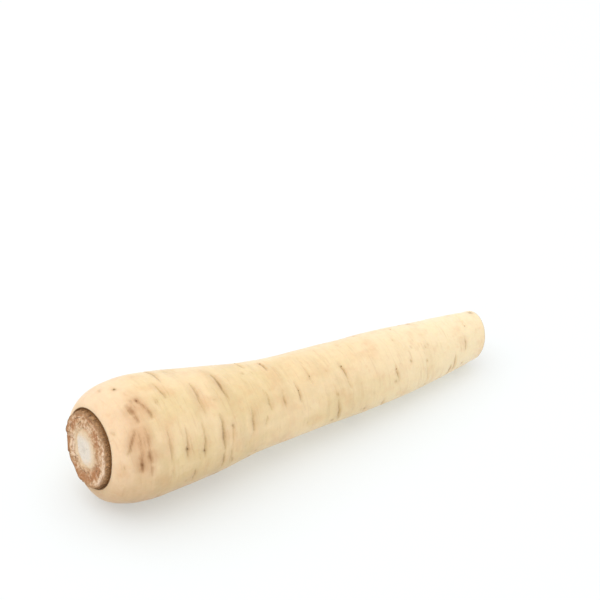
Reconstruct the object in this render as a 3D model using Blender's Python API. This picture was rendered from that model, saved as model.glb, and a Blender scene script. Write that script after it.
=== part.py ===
"""A trimmed parsnip, lying on its side with the cut crown towards -X and the cut tip towards +X.

The root grew as one piece, so it is one solid: the tapering body with its ring creases and scars,
the crown's collar of cut leaf bases round a hollowed core, and the sliced tip.
Lengths are in metres, +Z is up, and the part rests on z = 0.
"""

import math
import random

import bpy

MM = 0.001

# Driving dimensions
LENGTH = 214.5 * MM  # from the crown's shoulder plane to the cut tip
WIDEST_RADIUS = 28.7 * MM
WIDEST_AT = 28.4 * MM  # distance of the widest place from the shoulder plane
CROWN_RADIUS = 18.75 * MM  # where the shoulder meets the collar of leaf bases
TIP_RADIUS = 12.1 * MM
SHOULDER_TURN = 2.5  # the higher, the sharper the shoulder turns in
SHOULDER_FULLNESS = 2.05
COLLAR_HEIGHT = 2.3 * MM
CORE_RADIUS = 8.4 * MM
CROWN_RISE = 1.9 * MM  # how far the leaf scar sits above the middle of the shoulder
CROWN_FADE = 4 * MM
CROWN_DENT = 1.7 * MM  # how far the crown's edge is flattened on top
CROWN_DENT_SPREAD = math.radians(70)
DENT_FADE = 6 * MM  # the shoulder is round again this far from the shoulder plane
CROWN_LEAN = math.radians(6.6)  # the crown is cut with its upper side shorter
TIP_LEAN = math.radians(18.0)  # the tip is cut with its upper side longer
BEND = 4.6 * MM  # sideways bow of the whole root, towards -Y
ARCH = 0.7 * MM  # how far the middle is bowed up off the floor
BELLY_FLAT = 0.7 * MM  # how far the widest place is pressed flat where it rests
TIP_CLEARANCE = 0.4 * MM  # the narrow end rests a little before the cut, which stands clear

# The body's taper: distance from the shoulder plane and radius, in millimetres
TAPER = (
    (0, 29.3), (28.4, 28.7), (58.7, 25.2), (86.6, 21.1),
    (118.5, 19.5), (150.3, 18.4), (185, 15.7), (214.5, 12.1),
)

# The cut crown from the core outwards: radius as a share of CORE_RADIUS or of CROWN_RADIUS, height
# above the shoulder plane as a share of COLLAR_HEIGHT, and unevenness in millimetres
CORE_PROFILE = (
    (0.38, 0.22, 0.05),
    (0.74, 0.32, 0.08),
    (1.00, 0.62, 0.14),
    (1.12, 0.24, 0.15),
    (1.30, 0.74, 0.36),
    (1.52, 0.84, 0.55),
    (1.74, 0.82, 0.55),
)
COLLAR_PROFILE = (
    (0.940, 1.00, 0.35),
    (0.952, 0.78, 0.20),
    (0.962, 0.15, 0.10),
    (0.978, -0.28, 0.05),
    (1.010, -0.10, 0.03),
)
STUB_SWELL = 0.43  # share by which the leaf bases stand taller on one side
STUB_SWELL_AT = math.radians(28)
STUB_SWELL_SPREAD = math.radians(38)
CORE_HOLLOW = 0.18  # height at the very middle, as a share of COLLAR_HEIGHT

# The sliced tip's face from its rim inwards: share of the tip's radius, and height in millimetres
TIP_PROFILE = ((0.985, 0.25), (0.93, 0.55), (0.68, 0.75), (0.50, 0.45), (0.26, 0.80))
TIP_MIDDLE = 0.85 * MM

# Slow unevenness of the body, as shares of its radius
OVAL = 0.012
LOBES = 0.008
SWELLING = 0.006
SWELLINGS = 5.5  # faint swellings along the length

# How far the crease rings stray along the root as they go round
SLANT = 0.9 * MM
WAVER = 0.4 * MM

# Resolution
SHOULDER_ROWS = (0.04, 0.12, 0.24, 0.38, 0.54, 0.72, 0.9)  # shares of the way to the widest place
SIDES = 56
CREASE_HALF_WIDTH = 0.9 * MM
FURTHER_CREASES = 12  # rings of creases beyond the listed ones, up to the tip
LAST_CREASE = 205 * MM
CREASE_JITTER = 0.16  # share of a ring's spacing
SEED = 7

# Creases on the side that shows: the ring's distance from the shoulder plane, then for each crease
# its middle and half spread round the root in degrees, with 0 at +Y and 90 on top, and its depth
SHOWN_CREASES = (
    (29.3, ((102, 14, 0.50), (155, 20, 0.65))),
    (35.6, ((158, 19, 0.85),)),
    (45.9, ((121, 21, 0.85), (160, 17, 0.80))),
    (54.0, ((164, 21, 0.90),)),
    (61.3, ((110, 19, 0.80), (169, 14, 0.60))),
    (71.5, ((159, 22, 0.90),)),
    (81.3, ((143, 15, 0.75), (167, 9, 0.50))),
    (91.0, ((147, 15, 0.75),)),
)
SCATTERED_CREASES = 3  # tried on each ring, in degrees of half spread and millimetres of depth
SCATTERED_SPREAD = (14, 30)
SCATTERED_DEPTH = (0.45, 0.90)
CREASE_GAP = 6  # degrees kept between neighbouring creases


def hermite(points, x):
    """A smooth curve through the points, level with its neighbours' slope at each."""
    last = len(points) - 2
    i = 0
    while i < last and x > points[i + 1][0]:
        i += 1

    def slope(k):
        a = points[max(k - 1, 0)]
        b = points[min(k + 1, len(points) - 1)]
        return (b[1] - a[1]) / (b[0] - a[0])

    (x0, y0), (x1, y1) = points[i], points[i + 1]
    span = x1 - x0
    t = min(max((x - x0) / span, 0.0), 1.0)
    rise = t * t * (3 - 2 * t)
    lead = t * (1 - t) ** 2 * span * slope(i)
    trail = t * t * (t - 1) * span * slope(i + 1)
    return y0 + (y1 - y0) * rise + lead + trail


def taper_radius(s):
    """The body's radius before the shoulder rounds it off."""
    return hermite(TAPER, s / MM) * MM


def body_radius(s):
    """The body's radius with the shoulder rounded in to the crown."""
    if s >= WIDEST_AT:
        return taper_radius(s)
    reach = 1 - max(s, 0.0) / WIDEST_AT
    swell = (1 - reach ** SHOULDER_TURN) ** (1 / SHOULDER_FULLNESS)
    return CROWN_RADIUS + (taper_radius(s) - CROWN_RADIUS) * swell


def crease_rings():
    """Every ring that carries creases, as (distance, its known creases)."""
    rng = random.Random(SEED)
    rings = [(distance * MM, marks) for distance, marks in SHOWN_CREASES]
    start = rings[-1][0]
    step = (LAST_CREASE - start) / FURTHER_CREASES
    for i in range(1, FURTHER_CREASES + 1):
        rings.append((start + (i + rng.uniform(-CREASE_JITTER, CREASE_JITTER)) * step, ()))
    return rings


def ring_creases(rings):
    """For each ring, its known creases and scattered ones, as (middle angle, half spread, depth)."""
    rng = random.Random(SEED + 1)
    table = []
    for _, marks in rings:
        creases = [(math.radians(m), math.radians(w), d * MM) for m, w, d in marks]
        for _ in range(SCATTERED_CREASES):
            middle = rng.uniform(0, 2 * math.pi)
            spread = math.radians(rng.uniform(*SCATTERED_SPREAD))
            depth = rng.uniform(*SCATTERED_DEPTH) * MM
            gap = spread + math.radians(CREASE_GAP)
            if all(abs(wrap(middle - m)) > gap + w for m, w, _ in creases):
                creases.append((middle, spread, depth))
        table.append(creases)
    return table


def wrap(angle):
    """The angle brought between -pi and pi."""
    return (angle + math.pi) % (2 * math.pi) - math.pi


def bump(angle, middle, spread):
    """A soft bump round the root: 1 at its middle, 0 beyond its spread."""
    away = abs(wrap(angle - middle)) / spread
    return (1 - away * away) ** 2 if away < 1 else 0.0


def crown_dent(s, angle):
    """How far the crown's edge is flattened here."""
    fade = max(0.0, 1 - s / DENT_FADE) ** 2
    return CROWN_DENT * fade * bump(angle, math.pi / 2, CROWN_DENT_SPREAD)


def crease_depth(marks, angle):
    """How deep a ring's creases cut at this angle."""
    depth = 0.0
    for middle, spread, most in marks:
        away = abs(wrap(angle - middle)) / spread
        if away < 1:
            depth = max(depth, most * (1 - away * away))
    return depth


def lumps(s, angle):
    """The slow unevenness of a grown root: oval in places, with faint swellings along it."""
    along = s / LENGTH
    oval = OVAL * math.sin(2 * angle + 0.6 + 2.4 * along)
    lobes = LOBES * math.sin(3 * angle - 1.1 + 5.2 * along)
    swelling = SWELLING * math.sin(2 * math.pi * SWELLINGS * along + math.sin(angle))
    return 1 + oval + lobes + swelling


def wander(s, angle):
    """How far a ring strays along the root as it goes round, so that creases lie a little aslant."""
    along = s / LENGTH
    fade = min(1.0, s / WIDEST_AT) * min(1.0, (LENGTH - s) / WIDEST_AT)
    stray = SLANT * math.sin(angle + 5 * along) + WAVER * math.sin(2 * angle - 8 * along)
    return stray * fade


def bow(s):
    """The centreline's sideways place."""
    return -BEND * math.sin(math.pi * min(max(s / LENGTH, 0.0), 1.0))


def lift(s):
    """The centreline's height: the belly and the narrow end rest, and the middle clears the floor."""
    start = WIDEST_RADIUS - BELLY_FLAT
    end = TIP_RADIUS + TIP_CLEARANCE
    t = (s - WIDEST_AT) / (LENGTH - WIDEST_AT)
    arch = ARCH * math.sin(math.pi * min(max(t, 0.0), 1.0))
    fall = t if t > 0 else 0.2 * t
    return start + (end - start) * fall + arch + CROWN_RISE * max(0.0, 1 - s / CROWN_FADE) ** 2


def lean(s, rise):
    """How far a point goes along X because the crown and the tip are cut aslant."""
    near_crown = max(0.0, 1 - max(s, 0.0) / WIDEST_AT)
    near_tip = max(0.0, 1 - (LENGTH - min(s, LENGTH)) / WIDEST_AT)
    return rise * (math.tan(TIP_LEAN) * near_tip + math.tan(CROWN_LEAN) * near_crown)


def place(s, radius, angle, stray):
    """A point of the surface, kept on or above the floor."""
    side = radius * math.cos(angle)
    rise = radius * math.sin(angle)
    x = s + stray + lean(s, rise)
    y = bow(s) + side
    z = lift(s) + rise
    return [x, y, max(z, 0.0)]


def crown_profile():
    """The cut crown from the core outwards, as (radius, height above the shoulder plane, roughness)."""
    scaled = [(CORE_RADIUS * share, height, rough) for share, height, rough in CORE_PROFILE]
    scaled += [(CROWN_RADIUS * share, height, rough) for share, height, rough in COLLAR_PROFILE]
    return [(radius, COLLAR_HEIGHT * height, rough * MM) for radius, height, rough in scaled]


def stub_relief(angle, radius):
    """Uneven height of the cut leaf bases, between -1 and 1."""
    return (
        0.5 * math.sin(9 * angle + 0.7)
        + 0.3 * math.sin(14 * angle + 2.1 + 300 * radius)
        + 0.2 * math.sin(5 * angle + 4.0)
    )


def body_distances(rings):
    """Every row of the body: the shoulder, three rows to a crease, and one between creases."""
    rows = [(WIDEST_AT * share, None) for share in SHOULDER_ROWS]
    for k, (ring, _) in enumerate(rings):
        rows += [(ring - CREASE_HALF_WIDTH, None), (ring, k), (ring + CREASE_HALF_WIDTH, None)]
        following = rings[k + 1][0] if k + 1 < len(rings) else LENGTH
        rows.append(((ring + following) / 2, None))
    rows.append((LENGTH, None))
    return rows


def body_row(s, marks):
    """One ring of points round the body."""
    row = []
    for j in range(SIDES):
        angle = 2 * math.pi * j / SIDES
        radius = body_radius(s) * lumps(s, angle) - crease_depth(marks, angle) - crown_dent(s, angle)
        row.append(place(s, radius, angle, wander(s, angle)))
    return row


def crown_row(radius, height, rough):
    """One ring of points on the cut crown."""
    row = []
    for j in range(SIDES):
        angle = 2 * math.pi * j / SIDES
        swell = 1 + STUB_SWELL * bump(angle, STUB_SWELL_AT, STUB_SWELL_SPREAD)
        stand = height * swell + rough * stub_relief(angle, radius)
        reach = radius * (lumps(0.0, angle) - crown_dent(0.0, angle) / CROWN_RADIUS)
        row.append(place(0.0, reach, angle, -stand))
    return row


def tip_row(share, height):
    """One ring of points on the sliced tip."""
    row = []
    for j in range(SIDES):
        angle = 2 * math.pi * j / SIDES
        row.append(place(LENGTH, share * TIP_RADIUS * lumps(LENGTH, angle), angle, height))
    return row


def all_rows():
    """Every ring of the root from the crown's core to the middle of the tip."""
    rings = crease_rings()
    creases = ring_creases(rings)
    rows = [crown_row(*step) for step in crown_profile()]
    rows += [body_row(s, creases[k] if k is not None else []) for s, k in body_distances(rings)]
    rows += [tip_row(share, height * MM) for share, height in TIP_PROFILE]
    return rows


def skin_faces(row_count):
    """Quads between neighbouring rings and a fan at each end. The two pole points come last."""
    first_pole = row_count * SIDES
    last_pole = first_pole + 1
    faces = []
    for j in range(SIDES):
        after = (j + 1) % SIDES
        faces.append((first_pole, after, j))
        last = (row_count - 1) * SIDES
        faces.append((last_pole, last + j, last + after))
        for i in range(row_count - 1):
            low = i * SIDES
            high = low + SIDES
            faces.append((low + j, low + after, high + after, high + j))
    return faces


def centre_on_bounds(points):
    """Moves the points in X and Y so that their box is centred on the origin."""
    for axis in (0, 1):
        values = [p[axis] for p in points]
        middle = (min(values) + max(values)) / 2
        for p in points:
            p[axis] -= middle


def skin_material():
    material = bpy.data.materials.new("parsnip_skin")
    material.use_nodes = True
    surface = material.node_tree.nodes["Principled BSDF"]
    surface.inputs["Base Color"].default_value = (0.85, 0.66, 0.39, 1.0)
    surface.inputs["Roughness"].default_value = 0.55
    surface.inputs["Metallic"].default_value = 0.0
    return material


def build_parsnip():
    rows = all_rows()
    points = [p for row in rows for p in row]
    points.append(place(0.0, 0.0, 0.0, -CORE_HOLLOW * COLLAR_HEIGHT))
    points.append(place(LENGTH, 0.0, 0.0, TIP_MIDDLE))
    centre_on_bounds(points)
    mesh = bpy.data.meshes.new("parsnip")
    mesh.from_pydata(points, [], skin_faces(len(rows)))
    mesh.validate()
    mesh.shade_smooth()
    mesh.set_sharp_from_angle(angle=math.radians(50))
    mesh.materials.append(skin_material())
    root = bpy.data.objects.new("parsnip", mesh)
    bpy.context.scene.collection.objects.link(root)
    return root


def main():
    for old in list(bpy.data.objects):
        bpy.data.objects.remove(old)
    build_parsnip()


main()
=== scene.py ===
import math
import random

import bpy
import numpy as np
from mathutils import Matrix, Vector


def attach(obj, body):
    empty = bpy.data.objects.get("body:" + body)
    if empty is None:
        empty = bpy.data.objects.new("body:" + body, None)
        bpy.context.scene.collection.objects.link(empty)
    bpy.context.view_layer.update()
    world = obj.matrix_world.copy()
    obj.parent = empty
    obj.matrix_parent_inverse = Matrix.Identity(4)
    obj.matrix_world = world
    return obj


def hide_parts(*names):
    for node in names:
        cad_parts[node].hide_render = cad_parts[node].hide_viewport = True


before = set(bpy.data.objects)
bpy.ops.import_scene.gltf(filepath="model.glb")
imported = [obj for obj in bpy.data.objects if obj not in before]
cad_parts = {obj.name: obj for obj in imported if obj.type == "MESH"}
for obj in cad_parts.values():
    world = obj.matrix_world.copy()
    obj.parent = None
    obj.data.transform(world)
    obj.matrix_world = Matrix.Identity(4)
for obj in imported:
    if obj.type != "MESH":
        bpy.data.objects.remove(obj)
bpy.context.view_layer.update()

bl_info = {
    "name": "Trimmed parsnip",
    "version": (1, 0, 0),
    "blender": (4, 5, 0),
    "location": "3D View > Sidebar > Parsnip",
    "description": "A trimmed parsnip with a cut crown, ring creases and a sliced tip",
    "category": "Mesh",
}

MM = 0.001
SEED = 7

# Unless a comment says otherwise, distances run along the root from the shoulder plane, where the skin meets
# the collar of leaf bases, angles are in degrees round it with 0 at +Y and 90 on top, and sizes are in
# millimetres.

# The form, in step with the solid's source

SHOULDER_X = -107.10  # the shoulder plane in the shared frame
MIDDLE_Y = 1.586  # the line from the crown's middle to the tip's in the shared frame
LEFT_END = -111.55  # the cut crown's furthest reach in the shared frame

TAPER = (  # distance and radius
    (0, 29.3), (28.4, 28.7), (58.7, 25.2), (86.6, 21.1),
    (118.5, 19.5), (150.3, 18.4), (185, 15.7), (214.5, 12.1),
)
SHOULDER_TURN = 2.5  # how far back the shoulder starts to turn in, and how full it stays
SHOULDER_FULLNESS = 2.05
CROWN_RISE = 1.9  # how far the crown's middle stands above the line of the body
CROWN_FADE = 4.0  # distance over which that fades
CROWN_DENT = 1.7  # how far the crown's edge is flattened on top
CROWN_DENT_SPREAD = math.radians(70)
DENT_FADE = 6.0
CROWN_LEAN = math.radians(6.6)  # the crown is cut with its upper side shorter
CROWN_SET_BACK = 1.6  # how much further back than the solid's the crown's edge is cut on top
SET_BACK_FADE = 5.0
STUB_SWELL = 0.43  # share by which the leaf bases stand taller on one side
STUB_SWELL_AT = math.radians(28)
STUB_SWELL_SPREAD = math.radians(38)
TIP_LEAN = math.radians(18.0)  # the tip is cut with its upper side longer
ARCH = 0.7  # rise of the centreline between the widest place and the tip
BELLY_FLAT = 0.7  # how far the widest place is pressed flat where it rests
TIP_CLEARANCE = 0.4  # how much further than its radius the tip's middle stands above the floor

# Slow unevenness of the body, as shares of its radius
OVAL = 0.012
LOBES = 0.008
SWELLING = 0.006
SWELLINGS = 5.5  # faint swellings along the length

# How far a ring strays along the root as it goes round
SLANT = 0.9
WAVER = 0.4

# The cut crown from the core outwards: share of the core's or the crown's radius, height above the
# shoulder plane as a share of the collar's height, and unevenness
CORE_PROFILE = (
    (0.00, 0.60, 0.03),
    (0.38, 0.62, 0.05),
    (0.74, 0.66, 0.08),
    (1.00, 0.72, 0.14),
    (1.12, 0.42, 0.15),
    (1.30, 0.74, 0.36),
    (1.52, 0.84, 0.55),
    (1.74, 0.82, 0.55),
)
COLLAR_PROFILE = (
    (0.940, 1.00, 0.35),
    (0.952, 0.78, 0.20),
    (0.962, 0.15, 0.10),
    (0.978, -0.28, 0.05),
    (1.010, -0.10, 0.03),
)
FACE_RINGS = 58  # rings of points from the crown's middle to the top of the collar
FIRST_RING = 0.5  # radius of the innermost
WALL_RINGS = (3, 7, 5, 4)  # rings between each two lines of the collar's profile
LAYER_STEP = 2.6  # from one curved layer of the leaf bases to the next
GAP_WIDTH, SPLIT_WIDTH = 0.60, 0.16  # of the gaps between layers and the splits across, as shares
SPLITS_FROM = 11.5  # distance from the crown's middle where the splits start
LAYER_DEPTH = 0.42
LEAF_SINK = 0.16  # keeps the layers inside the solid
LEAF_GRAIN, CORE_GRAIN = 0.10, 0.03  # heights of the cut's fine grain
WALL_STREAKS, WALL_INSET = 0.22, 0.12  # height of the streaks down the collar's wall, and its set back
WALL_FOOT = 0.975  # share of the crown's radius where the wall's streaks start to fade
GROOVE_WIDTH, GROOVE_DARKNESS = 0.38, 0.75  # of the dark line between the collar and the skin

# The sliced tip: share of its radius, and how far it stands out
TIP_PROFILE = ((1.0, 0.0), (0.985, 0.25), (0.93, 0.55), (0.68, 0.75), (0.50, 0.45), (0.26, 0.80), (0.0, 0.85))
TIP_SINK = 0.08
SAW_MARKS, SAW_STEPS, TIP_GRIT = 0.05, 70, 0.04  # height and closeness of the saw's marks, and finer relief
TIP_EDGE_RINGS = (0.993, 0.985, 0.97, 0.95)  # shares of the radius
TIP_RINGS = (0.93, 0.035, 21)  # first and last of the further ones, and how many

# Rows of points along the body: those of the groove's edge, then the gap between rows, also beside a crease
# and beside the crown, and how far beside
GROOVE_ROWS = (0.008, 0.03, 0.07, 0.13, 0.21)
ROW_GAP = 0.95
CREASE_ROW_GAP, CREASE_MARGIN = 0.45, 1.2
CROWN_ROW_GAP, CROWN_MARGIN = 0.30, 4
LEAST_ROW_GAP = 0.08
ROW_STEP = 0.05  # how finely the length is walked to place the rows
SIDES = 160
CROWN_SIDES = 2 * SIDES

# Slow relief of the skin: height, length of its patches and how many of them go round
SOFT_RELIEF = ((0.16, 13, 14), (0.07, 4.5, 34), (0.05, 38, 60))
SKIN_SINK = 0.24  # keeps that relief inside the solid
CROWN_CALM, TIP_CALM = 5, 3  # distances from the crown and from the tip within which it fades
LEAST_RELIEF = 0.2  # share of it that is left at the tip
FLOOR_FADE = 0.9  # height above the floor where the relief is whole
SKIN_GRAIN = 3.5  # length of the patches of the finest relief

# Creases, spots and stains

# Rings of creases that the solid carries: distance, then each crease's middle and half spread and its depth
SOLID_CREASES = (
    (29.3, ((102, 14, 0.50), (155, 20, 0.65))),
    (35.6, ((158, 19, 0.85),)),
    (45.9, ((121, 21, 0.85), (160, 17, 0.80))),
    (54.0, ((164, 21, 0.90),)),
    (61.3, ((110, 19, 0.80), (169, 14, 0.60))),
    (71.5, ((159, 22, 0.90),)),
    (81.3, ((143, 15, 0.75), (167, 9, 0.50))),
    (91.0, ((147, 15, 0.75),)),
)
FURTHER_CREASES = 12  # rings of creases beyond the listed ones
LAST_CREASE = 205.0
CREASE_JITTER = 0.16  # share of a ring's spacing

# Creases that the solid has at random, as many as this tried on each ring
SCATTERED_CREASES = 3
SCATTERED_SPREAD = (14, 30)
SCATTERED_DEPTH = (0.45, 0.90)
CREASE_GAP = 6  # degrees kept between neighbouring creases
SCATTERED_TILT = 0.6  # how much further along one end may lie than the middle
SCATTERED_WIDTH = (0.42, 0.70)
SCATTERED_DARKNESS = (0.30, 0.62)
CREASE_FADE = 0.35  # share by which they are fainter at the far end
STRONGEST = (0.3, 0.7)  # where along a random crease it is strongest

# Creases that show: distance and angle of each end, half width, depth, darkness from 0 to 1, and where
# along it the crease is strongest
SHOWN_CREASES = (
    (30.0, 90, 32.6, 113, 0.85, 0.26, 0.36, 0.80),
    (26.6, 136, 25.6, 177, 0.90, 0.40, 0.32, 0.65),
    (36.0, 143, 33.9, 178, 0.80, 0.38, 0.34, 0.65),
    (47.6, 99, 47.6, 140, 1.10, 0.46, 0.36, 0.35),
    (44.8, 144, 43.6, 183, 0.80, 0.45, 0.36, 0.60),
    (61.5, 89, 62.0, 132, 1.00, 0.46, 0.48, 0.40),
    (55.1, 140, 54.5, 183, 0.95, 0.50, 0.46, 0.60),
    (60.6, 157, 58.9, 182, 0.65, 0.25, 0.26, 0.20),
    (72.6, 141, 71.7, 172, 0.80, 0.50, 0.36, 0.75),
    (71.7, 172, 68.9, 185, 0.60, 0.25, 0.22, 0.30),
    (82.8, 129, 82.9, 157, 0.75, 0.40, 0.34, 0.60),
    (80.3, 159, 78.2, 174, 0.65, 0.30, 0.32, 0.50),
    (91.9, 132, 90.4, 161, 0.70, 0.38, 0.32, 0.60),
    (51.2, 124, 57.4, 127, 0.50, 0.10, 0.22, 0.50),
    (11.4, 133, 4.7, 158, 1.00, 0.28, 0.50, 0.50),
    (15.8, 132, 15.4, 161, 1.25, 0.25, 0.32, 0.50),
    (12.4, 136, 10.9, 160, 1.20, 0.20, 0.30, 0.50),
    (13.6, 141, 13.4, 156, 1.00, 0.15, 0.24, 0.50),
    (17.8, 104, 18.7, 114, 1.20, 0.20, 0.46, 0.35),
    (18.4, 109, 21.0, 123, 1.15, 0.14, 0.40, 0.45),
    (16.6, 104, 13.6, 109, 1.50, 0.10, 0.24, 0.50),
    (14.6, 109, 15.6, 118, 1.30, 0.10, 0.22, 0.50),
    (12.5, 107, 13.5, 123, 1.60, 0.24, 0.52, 0.60),
    (13.2, 119, 14.2, 131, 1.30, 0.18, 0.44, 0.45),
    (20.5, 113, 21.6, 131, 1.30, 0.26, 0.43, 0.60),
    (11.5, 153, 10.2, 178, 1.35, 0.35, 0.54, 0.72),
    (15.3, 155, 14.7, 171, 1.50, 0.32, 0.56, 0.50),
    (14.7, 168, 15.2, 184, 0.95, 0.18, 0.36, 0.40),
    (9.2, 68, 6.4, 76, 0.70, 0.12, 0.30, 0.50),
    (201.6, 136, 200.9, 170, 0.50, 0.28, 0.32, 0.75),
    (169.4, 124, 169.9, 132, 0.60, 0.14, 0.26, 0.50),
    (177.0, 131, 177.6, 139, 0.60, 0.14, 0.26, 0.50),
    (162.2, 104, 162.4, 112, 0.55, 0.12, 0.22, 0.50),
)
CREASE_FULLNESS = 0.42  # below 1 a crease stays strong towards its ends
CREASE_WAVER = ((0.18, 9, 5), (0.10, 23, 3))  # reach of its waves, how close they are and their shift
LIP_HEIGHT = 0.14  # of the raised edge beside a crease, as a share of its depth
LIP_AT, LIP_WIDTH, HALO_WIDTH = 2.3, 1.1, 3.4  # as shares of the crease's half width

# From this distance and in these angles the narrow end is nearly clear of marks
CLEAR_FROM = 160
CLEAR_SIDE = (55, 190)
CLEAR_SHARE = 0.4

# Further creases on the sides that don't show
HIDDEN_CREASES = 64
HIDDEN_REACH = (20, 208)
HIDDEN_SIDE = (190, 415)
HIDDEN_SPREAD = (4, 12)
HIDDEN_DOUBLING = 150  # distance over which that doubles, as the root gets thinner
HIDDEN_TILT = 0.8
HIDDEN_WIDTH = (0.45, 0.70)
HIDDEN_DEPTH = (0.15, 0.38)
HIDDEN_DARKNESS = (0.22, 0.55)

# Fine short wrinkles all round
HAIRLINES = 240
HAIRLINE_REACH = (22, 208)
HAIRLINE_CROWDING = 1.25  # above 1 more of them lie towards the crown
HAIRLINE_SPREAD = (5, 15)
HAIRLINE_TILT = 0.9
HAIRLINE_WIDTH = (0.28, 0.45)
HAIRLINE_DEPTH = (0.06, 0.18)
HAIRLINE_DARKNESS = (0.06, 0.30)
HAIRLINE_FADE = 0.5
LAST_MARK = 212

# Spots that show, where a rootlet was: distance, angle, half width, darkness
SHOWN_SPOTS = (
    (18.0, 107.5, 1.15, 0.58), (13.0, 118, 1.30, 0.44), (27.0, 115, 1.40, 0.30), (32.4, 111.5, 1.10, 0.36),
    (34.4, 166, 1.35, 0.50), (43.3, 173, 1.05, 0.48), (54.9, 166, 1.10, 0.40),
    (60.5, 158, 1.05, 0.40), (71.8, 170, 0.95, 0.34), (10.7, 169, 1.15, 0.62),
    (12.8, 83, 1.10, 0.46), (1.9, 132, 0.90, 0.26), (3.3, 170, 0.90, 0.24),
    (201.2, 74, 0.85, 0.30), (212.6, 81, 1.30, 0.42), (179.5, 132, 0.70, 0.30),
)
SMALL_SPOTS = 70
SPOT_REACH = (8, 208)
SPOT_WIDTH = (0.5, 0.95)
SPOT_DARKNESS = (0.15, 0.45)
SPOT_DEPTH = 0.22
SPOT_HALO, SPOT_HALO_WIDTH = 0.8, 2.4  # as shares of the spot's darkness and half width

# Tan patches of scarred skin: distance, angle, half length, half width, strength
STAINS = (
    (12.0, 142, 7.0, 13.0, 1.00),
    (11.5, 168, 5.5, 9.0, 1.00),
    (16.5, 113, 7.0, 9.0, 0.85),
    (25.0, 150, 5.0, 12.0, 0.35),
    (36.0, 165, 3.0, 7.0, 0.30),
    (49.0, 122, 4.0, 14.0, 0.25),
    (73.0, 165, 4.0, 9.0, 0.25),
)

# How far the middle of the core's colour lies off the crown's middle, sideways and up
CORE_OFF_MIDDLE = (2.8, -1.8)

# Coloured patches of the cut leaf bases: angle, share of the face's radius, half spread, half width as a
# share, and warmth from -1, pale, to 1, orange brown
RING_PATCHES = (
    (28, 0.80, 20, 0.10, 0.95), (214, 0.67, 28, 0.12, 0.95), (125, 0.68, 24, 0.14, 0.85),
    (262, 0.80, 34, 0.09, 0.75), (92, 0.93, 36, 0.06, 0.85), (350, 0.94, 30, 0.05, 1.00),
    (338, 0.70, 36, 0.17, -0.90), (70, 0.62, 30, 0.13, -0.60), (166, 0.84, 30, 0.09, -0.85),
    (212, 0.90, 28, 0.10, -1.00), (0, 0.62, 26, 0.12, -0.40), (290, 0.94, 26, 0.07, 1.00),
)

# Small added pieces

FIBRE_POINTS = 120  # of the ring that the fibres are spread along
FIBRE_RING = 0.953  # its radius as a share of the crown's
FIBRE_STAND = 0.35  # its height above the shoulder plane
FIBRE_HEIGHT = 1.6
FIBRE_SHORTEST = 0.30  # share of that height
FIBRE_WIDTH = 0.42
FIBRE_END = 0.22  # radius of the thin end, as a share of the width
FIBRE_JITTER = (0.0004, 0.0002, 0.0002)  # metres
FIBRE_LEAN = ((-0.3, -1.66, -0.15), (0.3, -1.48, 0.15))  # radians

STUB_RADIUS = 0.36
STUB_SINK = 0.34
STUB_SHAPE = ((0.4, 0.5, 0.12), (1.0, 1.2, 0.30))  # smallest and largest, as shares of the radius
STUB_DARKNESS = 0.45  # spots darker than this get one
STUB_CHANCE = 0.5  # for each crease of the solid
STUB_LOWEST = -0.6  # sine of the lowest angle at which one stands

# Shades beside those that a user would change

BAND_TAN = (0.60, 0.44, 0.21)
PALE_PATCH = (0.93, 0.74, 0.46)
# Painted shade: the root's lower side near the crown is multiplied by this, darker and warmer, as shade and
# warm bounce light from the floor make it.
PAINTED_UNDERSIDE_SHADE = (0.68, 0.575, 0.41)
SCAR_TAN = (0.69, 0.405, 0.21)
CREASE_EDGE = (0.45, 0.29, 0.07)
SCAR_EDGE = (0.46, 0.23, 0.09)
SCAR_DEEP = (0.30, 0.13, 0.04)
FACE_CREAM = (0.78, 0.58, 0.375)
FACE_PALE = (0.84, 0.615, 0.43)
FACE_ORANGE = (0.47, 0.21, 0.085)
FLECK_BROWN = (0.43, 0.20, 0.08)
FLECK_PALE = (0.87, 0.655, 0.475)
CORE_LINE = (0.44, 0.20, 0.075)
FOOT_BROWN = (0.25, 0.112, 0.028)
TIP_RING = (0.82, 0.62, 0.42)
TIP_RIM = ((0.78, (0.86, 0.68, 0.50)), (0.90, (0.80, 0.54, 0.36)), (1.00, (0.62, 0.38, 0.20)))
TIP_SPOT = (0.30, 0.12, 0.06)
FLOOR_LIGHT = (0.92, 1.0, 1.01)
SENSOR_WIDTH = 36.0


# Sizes and colours a user would change


def length_prop(name, description, default):
    return bpy.props.FloatProperty(name=name, description=description, default=default, unit="LENGTH")


def colour_prop(name, description, default):
    return bpy.props.FloatVectorProperty(
        name=name, description=description, subtype="COLOR", size=3, default=default,
    )


def place_prop(name, description, default):
    return bpy.props.FloatVectorProperty(
        name=name, description=description, subtype="TRANSLATION", unit="LENGTH", size=3, default=default,
    )


class ParsnipShape(bpy.types.PropertyGroup):
    """Sizes of the root."""

    length: length_prop("Length", "From the crown's shoulder plane to the cut tip", 214.5 * MM)
    widest_at: length_prop("Widest at", "Distance of the widest place from the shoulder plane", 28.4 * MM)
    crown_radius: length_prop("Crown radius", "Where the shoulder meets the collar of leaf bases", 18.75 * MM)
    core_radius: length_prop("Core radius", "Radius of the pale core in the cut crown", 8.4 * MM)
    collar_height: length_prop(
        "Collar height", "How far the cut leaf bases stand above the shoulder plane", 2.3 * MM,
    )
    tip_radius: length_prop("Tip radius", "Radius of the sliced tip", 12.1 * MM)
    bend: length_prop("Bend", "Sideways bow of the whole root", 4.6 * MM)
    unevenness: length_prop("Unevenness", "Depth of the fine unevenness of the skin", 0.09 * MM)
    crease_depth: bpy.props.FloatProperty(
        name="Crease depth", description="Depth of all creases, as a share of their listed depth",
        default=1.0, min=0.0, subtype="FACTOR",
    )
    fibres: bpy.props.IntProperty(
        name="Fibres", description="Number of dry fibres round the collar of leaf bases", default=210,
    )


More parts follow.
